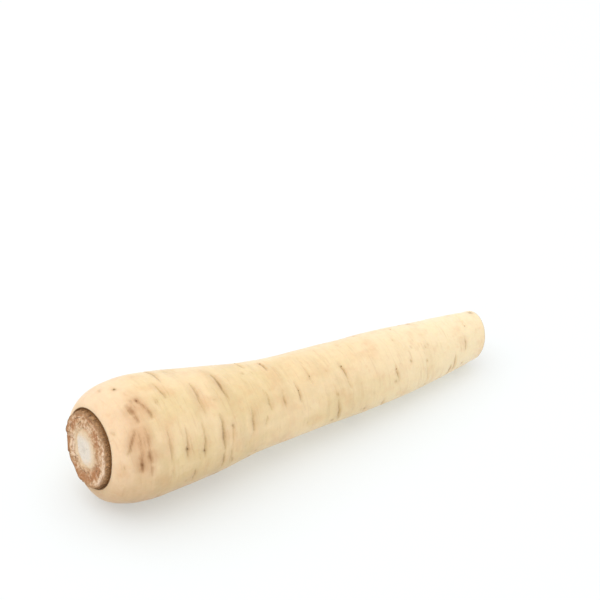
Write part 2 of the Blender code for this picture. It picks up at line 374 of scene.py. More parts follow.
class ParsnipColours(bpy.types.PropertyGroup):
    """Colours of the skin and the two cut ends."""

    cream: colour_prop("Cream", "Main colour of the skin", (0.87, 0.66, 0.385))
    straw: colour_prop("Straw", "Yellower patches of the skin", (0.80, 0.61, 0.325))
    tip: colour_prop("Tip skin", "Paler skin of the narrow end", (0.945, 0.78, 0.51))
    blush: colour_prop("Blush", "Rosier skin of the shoulder", (0.87, 0.625, 0.40))
    stain: colour_prop("Stain", "Tan patches of scarred skin", (0.60, 0.345, 0.165))
    crease: colour_prop("Crease", "Bottom of the creases", (0.22, 0.115, 0.035))
    core: colour_prop("Core", "Pale core of the cut crown", (0.77, 0.68, 0.575))
    leaf_base: colour_prop("Leaf bases", "Cut leaf bases round the core", (0.67, 0.43, 0.245))
    collar: colour_prop("Collar", "Dry outer wall of the leaf bases", (0.40, 0.215, 0.095))
    flesh: colour_prop("Flesh", "Flesh of the sliced tip", (0.88, 0.74, 0.55))


class ParsnipStage(bpy.types.PropertyGroup):
    """Floor, lights and camera."""

    floor_size: length_prop("Floor size", "Side of the pale floor", 6.0)
    floor_colour: colour_prop("Floor", "Colour of the floor", (0.54, 0.54, 0.54))
    floor_glow: bpy.props.FloatProperty(
        name="Floor glow", description="Light that the floor gives out, as a table lit from below",
        default=0.37,
    )
    key_power: bpy.props.FloatProperty(
        name="Key light", description="Power of the soft light from above", default=10.0, unit="POWER",
    )
    key_size: length_prop("Key light's size", "Side of the soft light", 2.2)
    key_place: place_prop("Key light's place", "Where the soft light hangs", (-0.25, 0.35, 1.35))
    sky_strength: bpy.props.FloatProperty(
        name="Surround", description="Strength of the even light from all round", default=0.94,
    )
    camera_place: place_prop("Camera place", "Where the camera stands", (-0.5013, -0.7565, 0.6496))
    camera_aim: place_prop("Camera aim", "Point in the middle of the picture", (0.0428, 0.0555, 0.028))
    lens: bpy.props.FloatProperty(
        name="Lens", description="Focal length in millimetres on a 36 mm wide sensor", default=139.9,
    )


# The root's surface


def smooth_curve(points, x):
    """A smooth curve through the points, in step with the solid's taper."""
    xs = np.array([p[0] for p in points], float)
    ys = np.array([p[1] for p in points], float)
    last = len(xs) - 1
    slopes = np.array([
        (ys[min(k + 1, last)] - ys[max(k - 1, 0)]) / (xs[min(k + 1, last)] - xs[max(k - 1, 0)])
        for k in range(last + 1)
    ])
    i = np.clip(np.searchsorted(xs, x) - 1, 0, last - 1)
    span = xs[i + 1] - xs[i]
    t = np.clip((x - xs[i]) / span, 0, 1)
    rise = t * t * (3 - 2 * t)
    lead = t * (1 - t) ** 2 * span * slopes[i]
    trail = t * t * (t - 1) * span * slopes[i + 1]
    return ys[i] + (ys[i + 1] - ys[i]) * rise + lead + trail


def wrap(angle):
    """The angle brought between -pi and pi."""
    return (angle + math.pi) % (2 * math.pi) - math.pi


def bump(angle, middle, spread):
    """A soft bump round the root: 1 at its middle, 0 beyond its spread."""
    away = np.abs(wrap(angle - middle)) / spread
    return np.where(away < 1, (1 - away * away) ** 2, 0.0)


def bell(away, width):
    """1 where away is 0, falling softly to nothing about twice the width from there."""
    return np.exp(-((away / width) ** 2))


def ramp(value, start, span):
    """0 up to the start, then rising evenly to 1 over the span."""
    return np.clip((value - start) / span, 0, 1)


class Surface:
    """The root's skin as functions of the distance s and the angle in radians."""

    def __init__(self, shape):
        self.length = shape.length / MM
        self.widest_at = shape.widest_at / MM
        self.crown_radius = shape.crown_radius / MM
        self.core_radius = shape.core_radius / MM
        self.collar_height = shape.collar_height / MM
        self.tip_radius = shape.tip_radius / MM
        self.bend = shape.bend / MM
        self.widest_radius = TAPER[1][1]

    def body_radius(self, s):
        """Radius of the body, rounded in to the crown at the shoulder."""
        taper = smooth_curve(TAPER, s)
        reach = np.clip(1 - s / self.widest_at, 0, 1)
        swell = (1 - reach ** SHOULDER_TURN) ** (1 / SHOULDER_FULLNESS)
        return np.where(s >= self.widest_at, taper, self.crown_radius + (taper - self.crown_radius) * swell)

    def lumps(self, s, angle):
        """The slow unevenness of a grown root, as a share of its radius."""
        along = s / self.length
        oval = OVAL * np.sin(2 * angle + 0.6 + 2.4 * along)
        lobes = LOBES * np.sin(3 * angle - 1.1 + 5.2 * along)
        swelling = SWELLING * np.sin(2 * math.pi * SWELLINGS * along + np.sin(angle))
        return 1 + oval + lobes + swelling

    def dent(self, s, angle):
        """How far the crown's edge is flattened."""
        fade = np.maximum(0, 1 - s / DENT_FADE) ** 2
        return CROWN_DENT * fade * bump(angle, math.pi / 2, CROWN_DENT_SPREAD)

    def wander(self, s, angle):
        """How far a ring strays along the root as it goes round."""
        along = s / self.length
        fade = np.minimum(1, s / self.widest_at) * np.minimum(1, (self.length - s) / self.widest_at)
        return (SLANT * np.sin(angle + 5 * along) + WAVER * np.sin(2 * angle - 8 * along)) * fade

    def lift(self, s):
        """Height of the centreline."""
        start = self.widest_radius - BELLY_FLAT
        end = self.tip_radius + TIP_CLEARANCE
        t = (s - self.widest_at) / (self.length - self.widest_at)
        arch = ARCH * np.sin(math.pi * np.clip(t, 0, 1))
        fall = np.where(t > 0, t, 0.2 * t)
        return start + (end - start) * fall + arch + CROWN_RISE * np.maximum(0, 1 - s / CROWN_FADE) ** 2

    def place(self, s, radius, angle, stray):
        """Points of the surface in metres in the shared frame, kept on or above the floor."""
        side = radius * np.cos(angle)
        rise = radius * np.sin(angle)
        near_crown = np.maximum(0, 1 - np.maximum(s, 0) / self.widest_at)
        near_tip = np.maximum(0, 1 - (self.length - np.minimum(s, self.length)) / self.widest_at)
        lean = rise * (math.tan(TIP_LEAN) * near_tip + math.tan(CROWN_LEAN) * near_crown)
        bow = -self.bend * np.sin(math.pi * np.clip(s / self.length, 0, 1))
        at_rim = np.maximum(0, 1 - np.maximum(s, 0) / SET_BACK_FADE) ** 2
        set_back = CROWN_SET_BACK * at_rim * np.maximum(0, rise / self.crown_radius) ** 1.5
        x = s + stray + lean + set_back + SHOULDER_X
        y = bow + side + MIDDLE_Y
        z = np.maximum(self.lift(s) + rise, 0)
        return np.stack([x, y, z], axis=-1) * MM

    def on_skin(self, s, angle):
        """Points of the skin, without its fine relief."""
        s, angle = np.asarray(s, float), np.asarray(angle, float)
        radius = self.body_radius(s) * self.lumps(s, angle) - self.dent(s, angle)
        return self.place(s, radius, angle, self.wander(s, angle))

    def on_crown(self, radius, angle, stand):
        """Points of the cut crown at these distances from its middle and heights above the shoulder plane."""
        zero = np.zeros(np.shape(angle))
        reach = radius * (self.lumps(zero, angle) - self.dent(zero, angle) / self.crown_radius)
        return self.place(zero, reach, angle, -stand)


def soft_noise(s, angle, step, around, seed):
    """Soft random relief between -1 and 1, in patches `step` long with `around` of them round the root."""
    rng = np.random.default_rng(seed)
    u = s / step + 2
    v = (angle / (2 * math.pi)) * around
    table = rng.uniform(-1, 1, (int(np.max(u)) + 3, around))
    i, j = np.floor(u).astype(int), np.floor(v).astype(int)
    fu, fv = u - i, v - j
    fu, fv = fu * fu * (3 - 2 * fu), fv * fv * (3 - 2 * fv)
    j, k = j % around, (j + 1) % around
    near = table[i, j] * (1 - fv) + table[i, k] * fv
    far = table[i + 1, j] * (1 - fv) + table[i + 1, k] * fv
    return near * (1 - fu) + far * fu


# Creases, spots and stains of the skin


def mark(s, middle, spread, tilt, width, depth, dark, peak=0.5):
    """A crease across the root, laid out as in the list of those that show, with its angles in radians."""
    return s, middle - spread, min(s + tilt, LAST_MARK), middle + spread, width, depth, dark, peak


def solid_creases():
    """Distance, middle, spread and depth of the solid's random creases, drawn as its source draws them."""
    rings = list(SOLID_CREASES)
    rng = random.Random(SEED)
    start = rings[-1][0]
    step = (LAST_CREASE - start) / FURTHER_CREASES
    for i in range(1, FURTHER_CREASES + 1):
        rings.append((start + (i + rng.uniform(-CREASE_JITTER, CREASE_JITTER)) * step, ()))
    rng = random.Random(SEED + 1)
    scattered = []
    for distance, marks in rings:
        creases = [(math.radians(m), math.radians(w)) for m, w, _ in marks]
        for _ in range(SCATTERED_CREASES):
            middle = rng.uniform(0, 2 * math.pi)
            spread = math.radians(rng.uniform(*SCATTERED_SPREAD))
            depth = rng.uniform(*SCATTERED_DEPTH)
            gap = spread + math.radians(CREASE_GAP)
            if all(abs(wrap(middle - m)) > gap + w for m, w in creases):
                creases.append((middle, spread))
                scattered.append((distance, middle, spread, depth))
    return scattered


def grown_creases():
    """Every crease, those that show first."""
    creases = [(s1, math.radians(a1), s2, math.radians(a2), *rest) for s1, a1, s2, a2, *rest in SHOWN_CREASES]
    rng = random.Random(SEED + 2)
    for s, middle, spread, depth in solid_creases():
        dark = rng.uniform(*SCATTERED_DARKNESS) * (1 - CREASE_FADE * s / LAST_CREASE)
        if s > CLEAR_FROM and CLEAR_SIDE[0] < math.degrees(middle) < CLEAR_SIDE[1]:
            dark *= CLEAR_SHARE
        width = rng.uniform(*SCATTERED_WIDTH)
        tilt, peak = rng.uniform(-SCATTERED_TILT, SCATTERED_TILT), rng.uniform(*STRONGEST)
        creases.append(mark(s, middle, spread, tilt, width, depth, dark, peak))
    for _ in range(HIDDEN_CREASES):
        s = rng.uniform(*HIDDEN_REACH)
        middle = math.radians(rng.uniform(*HIDDEN_SIDE))
        spread = math.radians(rng.uniform(*HIDDEN_SPREAD)) * (1 + s / HIDDEN_DOUBLING)
        tilt = rng.uniform(-HIDDEN_TILT, HIDDEN_TILT)
        sizes = [rng.uniform(*limits) for limits in (HIDDEN_WIDTH, HIDDEN_DEPTH, HIDDEN_DARKNESS, STRONGEST)]
        creases.append(mark(s, middle, spread, tilt, *sizes))
    return creases


def hairlines():
    """Fine short wrinkles all round, fewer and fainter towards the tip."""
    rng = random.Random(SEED + 3)
    lines = []
    low, high = HAIRLINE_REACH
    for _ in range(HAIRLINES):
        s = low + (high - low) * rng.random() ** HAIRLINE_CROWDING
        middle = rng.uniform(0, 2 * math.pi)
        spread = math.radians(rng.uniform(*HAIRLINE_SPREAD))
        tilt = rng.uniform(-HAIRLINE_TILT, HAIRLINE_TILT)
        width, depth = rng.uniform(*HAIRLINE_WIDTH), rng.uniform(*HAIRLINE_DEPTH)
        dark = rng.uniform(*HAIRLINE_DARKNESS) * (1 - HAIRLINE_FADE * s / LAST_CREASE)
        lines.append(mark(s, middle, spread, tilt, width, depth, dark))
    return lines


def scattered_spots():
    """Small marks of rootlets all round, most of them on the sides that don't show."""
    rng = random.Random(SEED + 4)
    spots = []
    for k in range(SMALL_SPOTS):
        side = rng.uniform(*HIDDEN_SIDE) if k % 4 else rng.uniform(0, 360)
        s, width, dark = (rng.uniform(*limits) for limits in (SPOT_REACH, SPOT_WIDTH, SPOT_DARKNESS))
        spots.append((s, side, width, dark))
    return spots


def crease_shape(s, angle, radius, crease):
    """Distance to the crease at each point, and how strong the crease is beside it."""
    s1, a1, s2, a2, _, _, _, peak = crease
    run, turn = s2 - s1, radius * wrap(a2 - a1)
    u, v = s - s1, radius * wrap(angle - a1)
    t = np.clip((u * run + v * turn) / (run * run + turn * turn), 0, 1)
    waver = sum(reach * np.sin(close * t + shift * s1) for reach, close, shift in CREASE_WAVER)
    away = np.hypot(u - t * run - waver, v - t * turn)
    bulge = np.where(t < peak, t / peak, (1 - t) / (1 - peak))
    return away, np.clip(bulge, 0, 1) ** CREASE_FULLNESS


class Relief:
    """What the skin carries at every point of a grid: depth carved, darkness, halo and stain."""

    def __init__(self, surface, s, angle):
        self.surface, self.s, self.angle = surface, s, angle
        self.depth, self.dark, self.halo, self.stain = (np.zeros(s.shape) for _ in range(4))

    def near(self, low, high):
        """The rows between two distances, and the body's radius midway."""
        column = self.s[:, 0]
        rows = slice(int(np.searchsorted(column, low)), int(np.searchsorted(column, high)))
        return rows, float(self.surface.body_radius(np.float64((low + high) / 2)))

    def darken(self, rows, dark, halo):
        self.dark[rows] = np.maximum(self.dark[rows], dark)
        self.halo[rows] = np.maximum(self.halo[rows], halo)

    def carve(self, crease):
        """Sinks a crease between two slight lips and darkens it."""
        s1, _, s2, _, width, depth, dark, _ = crease
        reach = 5 + 4 * width
        rows, radius = self.near(min(s1, s2) - reach, max(s1, s2) + reach)
        away, strength = crease_shape(self.s[rows], self.angle[rows], radius, crease)
        groove = bell(away, width) * strength
        lips = bell(away - LIP_AT * width, LIP_WIDTH * width) * strength
        self.depth[rows] += depth * groove - LIP_HEIGHT * depth * lips
        self.darken(rows, dark * groove, dark * bell(away, HALO_WIDTH * width) * strength)

    def spot(self, s0, degrees, width, dark):
        """Sinks and darkens a small spot, a little longer round the root than along it."""
        rows, radius = self.near(s0 - 4 * width, s0 + 4 * width)
        away = np.hypot(self.s[rows] - s0, 0.8 * radius * wrap(self.angle[rows] - math.radians(degrees)))
        middle = bell(away, width)
        self.depth[rows] += SPOT_DEPTH * middle
        self.darken(rows, dark * middle, SPOT_HALO * dark * bell(away, SPOT_HALO_WIDTH * width))

    def patch(self, s0, degrees, half_length, half_width, strength):
        """Lays a tan patch with a ragged edge."""
        radius = float(self.surface.body_radius(np.float64(s0)))
        across = radius * wrap(self.angle - math.radians(degrees)) / half_width
        away = np.hypot((self.s - s0) / half_length, across)
        ragged = away + 0.22 * soft_noise(self.s, self.angle, 3.0, 40, SEED + 20)
        self.stain = np.maximum(self.stain, strength * np.clip(1.3 - ragged, 0, 1) ** 1.3)


# Grids of points

# Every grid carries the same attributes. On the skin, carve is the depth in metres, crease, halo and stain
# are the strengths of its marks, and along runs from crown to tip. On the cut ends, ring runs from the middle
# out, and the others carry the cut's own pattern. zone tells the three apart.


def ring_angles(count):
    return 2 * math.pi * np.arange(count) / count


def body_rows(surface, creases):
    """Distances of the fine rows: close together where creases run, wider apart between."""
    stops = np.arange(0.0, surface.length, ROW_STEP)
    need = np.full(stops.shape, 1 / ROW_GAP)
    for s1, _, s2, *_ in creases:
        low, high = min(s1, s2) - CREASE_MARGIN, max(s1, s2) + CREASE_MARGIN
        need[(stops > low) & (stops < high)] = 1 / CREASE_ROW_GAP
    need[stops < CROWN_MARGIN] = 1 / CROWN_ROW_GAP
    walked = np.concatenate([[0], np.cumsum(need * ROW_STEP)])
    count = int(walked[-1])
    rows = np.interp(np.arange(1, count) / count * walked[-1], walked, np.append(stops, surface.length))
    return np.concatenate([GROOVE_ROWS, rows[rows > GROOVE_ROWS[-1] + LEAST_ROW_GAP], [surface.length]])


def skin_grid(surface):
    """Points and attributes of the body from the groove round the collar to the tip's rim."""
    creases = grown_creases()
    s, angle = np.meshgrid(body_rows(surface, creases), ring_angles(SIDES), indexing="ij")
    relief = Relief(surface, s, angle)
    for crease in creases + hairlines():
        relief.carve(crease)
    for spot in SHOWN_SPOTS + tuple(scattered_spots()):
        relief.spot(*spot)
    for stain in STAINS:
        relief.patch(*stain)
    soft = sum(
        height * soft_noise(s, angle, step, around, SEED + 30 + k)
        for k, (height, step, around) in enumerate(SOFT_RELIEF)
    )
    ends = np.clip(s / CROWN_CALM, 0, 1) * np.clip((surface.length - s) / TIP_CALM, LEAST_RELIEF, 1)
    points = surface.on_skin(s, angle)
    rested = np.clip(points[..., 2] / (FLOOR_FADE * MM), 0, 1)
    beside = surface.body_radius(s) - COLLAR_PROFILE[-1][0] * surface.crown_radius
    groove = np.where(s < CROWN_FADE, bell(beside, GROOVE_WIDTH), 0)
    return points, {
        "carve": (relief.depth + (SKIN_SINK - soft) * ends) * rested * MM,
        "crease": np.maximum(relief.dark, GROOVE_DARKNESS * groove),
        "halo": relief.halo,
        "stain": relief.stain,
        "along": s / surface.length,
        "ring": np.ones(s.shape),
        "zone": np.zeros(s.shape),
    }


def crown_profile(surface):
    """Distance from the crown's middle, height and unevenness of every ring of the cut crown."""
    crown = surface.crown_radius
    profile = [(share * surface.core_radius, height, rough) for share, height, rough in CORE_PROFILE]
    collar = [(share * crown, height, rough) for share, height, rough in COLLAR_PROFILE]
    lines = np.array(profile + collar).T
    face = np.linspace(FIRST_RING, collar[0][0], FACE_RINGS)
    rings = [(r, np.interp(r, lines[0], lines[1]), np.interp(r, lines[0], lines[2])) for r in face]
    for a, b, parts in zip(collar, collar[1:], WALL_RINGS):
        rings += [tuple(np.array(a) + (np.array(b) - np.array(a)) * k / parts) for k in range(1, parts + 1)]
    radii, heights, roughs = np.array(rings).T
    return radii, heights * surface.collar_height, roughs


def stub_relief(r, angle):
    """Uneven height of the cut leaf bases, between -1 and 1, in step with the solid's."""
    along = np.sin(14 * angle + 2.1 + 300 * r * MM)
    return 0.5 * np.sin(9 * angle + 0.7) + 0.3 * along + 0.2 * np.sin(5 * angle + 4.0)


def leaf_layers(r, angle):
    """How deep the dark gaps and splits between the curved layers of the leaf bases are, from 0 to 1."""
    swirl = r + 0.9 * np.sin(3 * angle + 0.4) + 0.5 * np.sin(7 * angle + 1.9) + 0.25 * np.sin(13 * angle)
    swirl = swirl + 0.5 * soft_noise(r, angle, 2.2, 26, SEED + 44)
    gap = np.abs(np.sin(math.pi * swirl / LAYER_STEP))
    strength = np.clip(0.70 + 0.9 * soft_noise(r, angle, 3.0, 22, SEED + 45), 0, 1)
    gaps = np.clip(1 - gap / GAP_WIDTH, 0, 1) * strength
    split = np.abs(np.sin(4.5 * angle + 0.35 * np.sin(r) + 0.8 * soft_noise(r, angle, 2.5, 9, SEED + 46)))
    splits = np.clip(1 - split / SPLIT_WIDTH, 0, 1) * ramp(r, SPLITS_FROM, 2)
    return np.maximum(gaps, 0.9 * splits * np.clip(strength + 0.2, 0, 1))


def ring_warmth(share, angle):
    """Colour of the cut leaf bases from 0, pale, through 0.5 to 1, orange brown."""
    warmth = np.full(share.shape, 0.5)
    for degrees, middle, spread, width, warm in RING_PATCHES:
        across = wrap(angle - math.radians(degrees)) / math.radians(spread)
        warmth += 0.5 * warm * bell(np.hypot(across, (share - middle) / width), 1)
    return np.clip(warmth, 0, 1)


def crown_grid(surface):
    """Points and attributes of the cut crown from its core to the groove."""
    core, crown = surface.core_radius, surface.crown_radius
    radii, heights, roughs = crown_profile(surface)
    r, angle = np.meshgrid(radii, ring_angles(CROWN_SIDES), indexing="ij")
    top, edge = COLLAR_PROFILE[0][0], COLLAR_PROFILE[1][0]
    on_wall = ramp(r / crown, top, edge - top)
    leafy = ramp(r, core * 1.02, 1.2)
    gaps = leaf_layers(r, angle)
    grain = soft_noise(r, angle, 0.7, 72, SEED + 40) * ramp(r, 1.5, 4)
    swell = 1 + STUB_SWELL * bump(angle, STUB_SWELL_AT, STUB_SWELL_SPREAD)
    stand = heights[:, None] * swell + roughs[:, None] * stub_relief(r, angle) - LEAF_SINK * leafy
    stand += (leafy * (LEAF_GRAIN * grain - LAYER_DEPTH * gaps) + CORE_GRAIN * grain) * (1 - on_wall)
    streak = soft_noise(r * 0 + 3, angle, 1.0, 150, SEED + 42)
    streak += 0.7 * soft_noise(r, angle, 0.5, 80, SEED + 43)
    upper_wall = on_wall * (1 - ramp(r / crown, WALL_FOOT, 0.03))
    points = surface.on_crown(r + (WALL_STREAKS * streak - WALL_INSET) * upper_wall, angle, stand)
    points[..., 0] = np.maximum(points[..., 0], LEFT_END * MM)
    share = r / (top * crown)
    inward = np.clip(1.6 * (1 - share), 0, 1)
    off_side, off_up = CORE_OFF_MIDDLE[0] * inward, CORE_OFF_MIDDLE[1] * inward
    from_core = np.hypot(r * np.cos(angle) - off_side, r * np.sin(angle) - off_up)
    lowest = min(height for _, height, _ in COLLAR_PROFILE)
    return points, {
        "carve": np.zeros(r.shape),
        "crease": on_wall * (1 - ramp(stand / surface.collar_height, lowest, 1 - lowest)),
        "halo": leafy * gaps * (1 - on_wall),
        "stain": np.clip(0.5 + 0.5 * grain, 0, 1),
        "along": ring_warmth(share, angle),
        "ring": np.clip(from_core / (top * crown), 0, 1) + on_wall,
        "zone": np.ones(r.shape),
    }


def tip_grid(surface):
    """Points and attributes of the sliced tip from its rim to its middle."""
    shares = np.concatenate([TIP_EDGE_RINGS, np.linspace(*TIP_RINGS)])
    heights = np.interp(shares, [p[0] for p in TIP_PROFILE[::-1]], [p[1] for p in TIP_PROFILE[::-1]])
    share, angle = np.meshgrid(shares, ring_angles(SIDES), indexing="ij")
    s = np.full(share.shape, surface.length)
    grit = soft_noise(share * 20, angle, 2, 12, SEED + 50)
    saw = SAW_MARKS * np.sin(SAW_STEPS * share * np.sin(angle + 0.5)) + TIP_GRIT * grit
    stand = heights[:, None] - TIP_SINK + saw * np.clip((1 - share) * 8, 0, 1)
    radius = share * surface.tip_radius * surface.lumps(s, angle)
    zero = np.zeros(share.shape)
    return surface.place(s, radius, angle, stand), {
        "carve": zero,
        "crease": zero,
        "halo": zero,
        "stain": np.clip(0.5 + 8 * saw, 0, 1),
        "along": zero + 1,
        "ring": share,
        "zone": zero + 2,
    }


def ring_faces(first_point, row_count, sides):
    """Quads between neighbouring rings of the same number of points."""
    row = first_point + np.arange(row_count - 1)[:, None] * sides
    j = np.arange(sides)[None, :]
    after = (j + 1) % sides
    quads = np.stack([row + j, row + after, row + sides + after, row + sides + j], axis=-1)
    return quads.reshape(-1, 4).tolist()


def halving_faces(outer, inner):
    """Faces from a ring of twice SIDES points to a ring of SIDES points."""
    faces = []
    for j in range(SIDES):
        a, b, c = outer + 2 * j, outer + 2 * j + 1, outer + (2 * j + 2) % CROWN_SIDES
        d, e = inner + j, inner + (j + 1) % SIDES
        faces += [(a, b, d), (b, e, d), (b, c, e)]
    return faces


def smooth_root(surface):
    """The root as one closed mesh with what the skin carries stored on its points."""
    grids = [crown_grid(surface), skin_grid(surface), tip_grid(surface)]
    crown_rows, skin_rows = len(grids[0][0]), len(grids[1][0]) + len(grids[2][0])
    points = np.concatenate([g[0].reshape(-1, 3) for g in grids])
    core_low = surface.place(np.float64(0), 0.0, 0.0, -(CORE_PROFILE[0][1] * surface.collar_height))
    tip_end = surface.place(np.float64(surface.length), 0.0, 0.0, TIP_PROFILE[-1][1] - TIP_SINK)
    centre, end = len(points), len(points) + 1
    skin_start = crown_rows * CROWN_SIDES
    last_ring = skin_start + (skin_rows - 1) * SIDES
    faces = [(centre, (k + 1) % CROWN_SIDES, k) for k in range(CROWN_SIDES)]
    faces += ring_faces(0, crown_rows, CROWN_SIDES)
    faces += halving_faces(skin_start - CROWN_SIDES, skin_start)
    faces += ring_faces(skin_start, skin_rows, SIDES)
    faces += [(end, last_ring + k, last_ring + (k + 1) % SIDES) for k in range(SIDES)]
    mesh = bpy.data.meshes.new("parsnip_root")
    mesh.from_pydata(np.concatenate([points, [core_low, tip_end]]), [], faces)
    middles = {
        "carve": (0, 0), "crease": (0, 0), "halo": (0, 0), "stain": (0.5, 0.5), "along": (0.5, 1),
        "ring": (0.2, 0), "zone": (1, 2),
    }
    for name, pair in middles.items():
        values = np.concatenate([g[1][name].ravel() for g in grids] + [np.array(pair, float)])
        mesh.attributes.new(name, "FLOAT", "POINT").data.foreach_set("value", values.astype(np.float32))
    mesh.update()
    return mesh


# Nodes


class Value:
    """What a node gives out; arithmetic on one that is a number adds Math nodes."""

    def __init__(self, nodes, socket):
        self.nodes, self.socket = nodes, socket

    def _math(self, operation, a, b=0.0, clamp=False):
        settings = {"operation": operation, "use_clamp": clamp}
        return self.nodes.value("ShaderNodeMath", settings, i0=a, i1=b)

    def __add__(self, other):
        return self._math("ADD", self, other)

    __radd__ = __add__

    def __mul__(self, other):
        return self._math("MULTIPLY", self, other)

    __rmul__ = __mul__

    def __sub__(self, other):
        return self._math("SUBTRACT", self, other)

    def __rsub__(self, other):
        return self._math("SUBTRACT", other, self)

    def at_least(self, low):
        return self._math("MAXIMUM", self, low)

    def above(self, limit):
        """1 above the limit and 0 elsewhere."""
        return self._math("GREATER_THAN", self, limit)

    def clamped(self):
        return self._math("ADD", self, 0.0, clamp=True)

    def over(self, low, high):
        """0 below low, 1 above high, smooth between."""
        settings = {"interpolation_type": "SMOOTHSTEP"}
        return self.nodes.value("ShaderNodeMapRange", settings, Value=self, From_Min=low, From_Max=high)


class Nodes:
    """A tree of nodes in the making; any node comes from its type, settings and inputs."""

    def __init__(self, tree):
        self.tree = tree

    def node(self, kind, settings=None, **links):
        made = self.tree.nodes.new(kind)
        for name, value in (settings or {}).items():
            if name == "stops":
                self.set_stops(made.color_ramp, value)
            else:
                setattr(made, name, value)
        for key, value in links.items():
            self.feed(made, key, value)
        return made

    def value(self, kind, settings=None, output=0, **links):
        """What one output of such a node gives."""
        return Value(self, self.node(kind, settings, **links).outputs[output])

    @staticmethod
    def set_stops(scale, stops):
        while len(scale.elements) < len(stops):
            scale.elements.new(0.5)
        for element, (position, shade) in zip(scale.elements, stops):
            element.position = position
            element.color = (*shade, 1.0)

    def feed(self, made, key, value):
        """Sets or links one input, named by its label with _ for spaces, or by i and its number."""
        number = key[1:]
        socket = made.inputs[int(number)] if number.isdigit() else made.inputs[key.replace("_", " ")]
        value = value.socket if isinstance(value, Value) else value
        if isinstance(value, bpy.types.NodeSocket):
            self.tree.links.new(value, socket)
        elif socket.type == "RGBA" and len(value) == 3:
            socket.default_value = (*value, 1.0)
        else:
            socket.default_value = value


# Geometry nodes


class Tree(Nodes):
    """A geometry node tree with named inputs, each given with the kind of its socket."""

    def __init__(self, name, **inputs):
        super().__init__(bpy.data.node_groups.new(name, "GeometryNodeTree"))
        face = self.tree.interface
        for side in ("INPUT", "OUTPUT"):
            face.new_socket("Geometry", in_out=side, socket_type="NodeSocketGeometry")
        self.keys = {}
        for label, kind in inputs.items():
            label = label.replace("_", " ")
            socket = face.new_socket(label, in_out="INPUT", socket_type="NodeSocket" + kind)
            self.keys[label] = socket.identifier
        self.start = self.node("NodeGroupInput")

    def given(self, label):
        return Value(self, self.start.outputs[label])

    def attribute(self, name, kind="FLOAT"):
        settings = {"data_type": kind}
        return self.value("GeometryNodeInputNamedAttribute", settings, "Attribute", Name=name)

    def between(self, low, high, seed):
        """Random vectors between two others."""
        settings = {"data_type": "FLOAT_VECTOR"}
        return self.value("FunctionNodeRandomValue", settings, i0=low, i1=high, Seed=seed)

    def scaled(self, vector, factor):
        return self.value("ShaderNodeVectorMath", {"operation": "SCALE"}, i0=vector, Scale=factor)

    def finish(self, geometry, looks):
        """Ends the tree in plain mesh with its materials, each with the places where it goes."""
        whole = self.value("GeometryNodeRealizeInstances", i0=geometry)
        for material, chosen in looks:
            whole = self.value("GeometryNodeSetMaterial", i0=whole, Selection=chosen, Material=material)
        self.node("NodeGroupOutput", Geometry=whole)
        return self


def settle(obj, tree, values):
    """Runs the tree on the object with these inputs, and leaves the result as a plain mesh."""
    modifier = obj.modifiers.new(tree.tree.name, "NODES")
    modifier.node_group = tree.tree
    for label, value in values.items():
        modifier[tree.keys[label]] = value
    graph = bpy.context.evaluated_depsgraph_get()
    grown = obj.evaluated_get(graph)
    plain = bpy.data.meshes.new_from_object(grown, preserve_all_data_layers=True, depsgraph=graph)
    obj.modifiers.remove(modifier)
    old = obj.data
    obj.data = plain
    bpy.data.meshes.remove(old)
    plain.name = obj.name


def carving_tree(looks):
    """Sinks the creases into the skin, roughens it, keeps it above the floor and gives each zone its look."""
    tree = Tree("Carve skin", Crease_depth="Float", Unevenness="Float", Grain="Float", Seed="Float")
    place_now = tree.node("GeometryNodeInputPosition").outputs[0]
    noise = tree.value(
        "ShaderNodeTexNoise", {"noise_dimensions": "4D"},
        Vector=place_now, W=tree.given("Seed"), Scale=tree.given("Grain"), Detail=3.0, Roughness=0.6,
    )
    zone = tree.attribute("zone")
    rough = noise * tree.given("Unevenness") * (1 - zone.above(0.5))
    inward = -1.0 * (tree.attribute("carve") * tree.given("Crease depth") + rough)
    normal = tree.node("GeometryNodeInputNormal").outputs[0]
    offset = tree.scaled(normal, inward)
    sunk = tree.value("GeometryNodeSetPosition", i0=tree.given("Geometry"), Offset=offset)
    parts = tree.node("ShaderNodeSeparateXYZ", i0=tree.node("GeometryNodeInputPosition").outputs[0])
    x, y, z = (Value(tree, parts.outputs[k]) for k in range(3))
    kept = tree.value("ShaderNodeCombineXYZ", i0=x, i1=y, i2=z.at_least(0.0))
    rested = tree.value("GeometryNodeSetPosition", i0=sunk, Position=kept)
    return tree.finish(rested, [(look, zone.above(number - 0.5)) for number, look in enumerate(looks)])


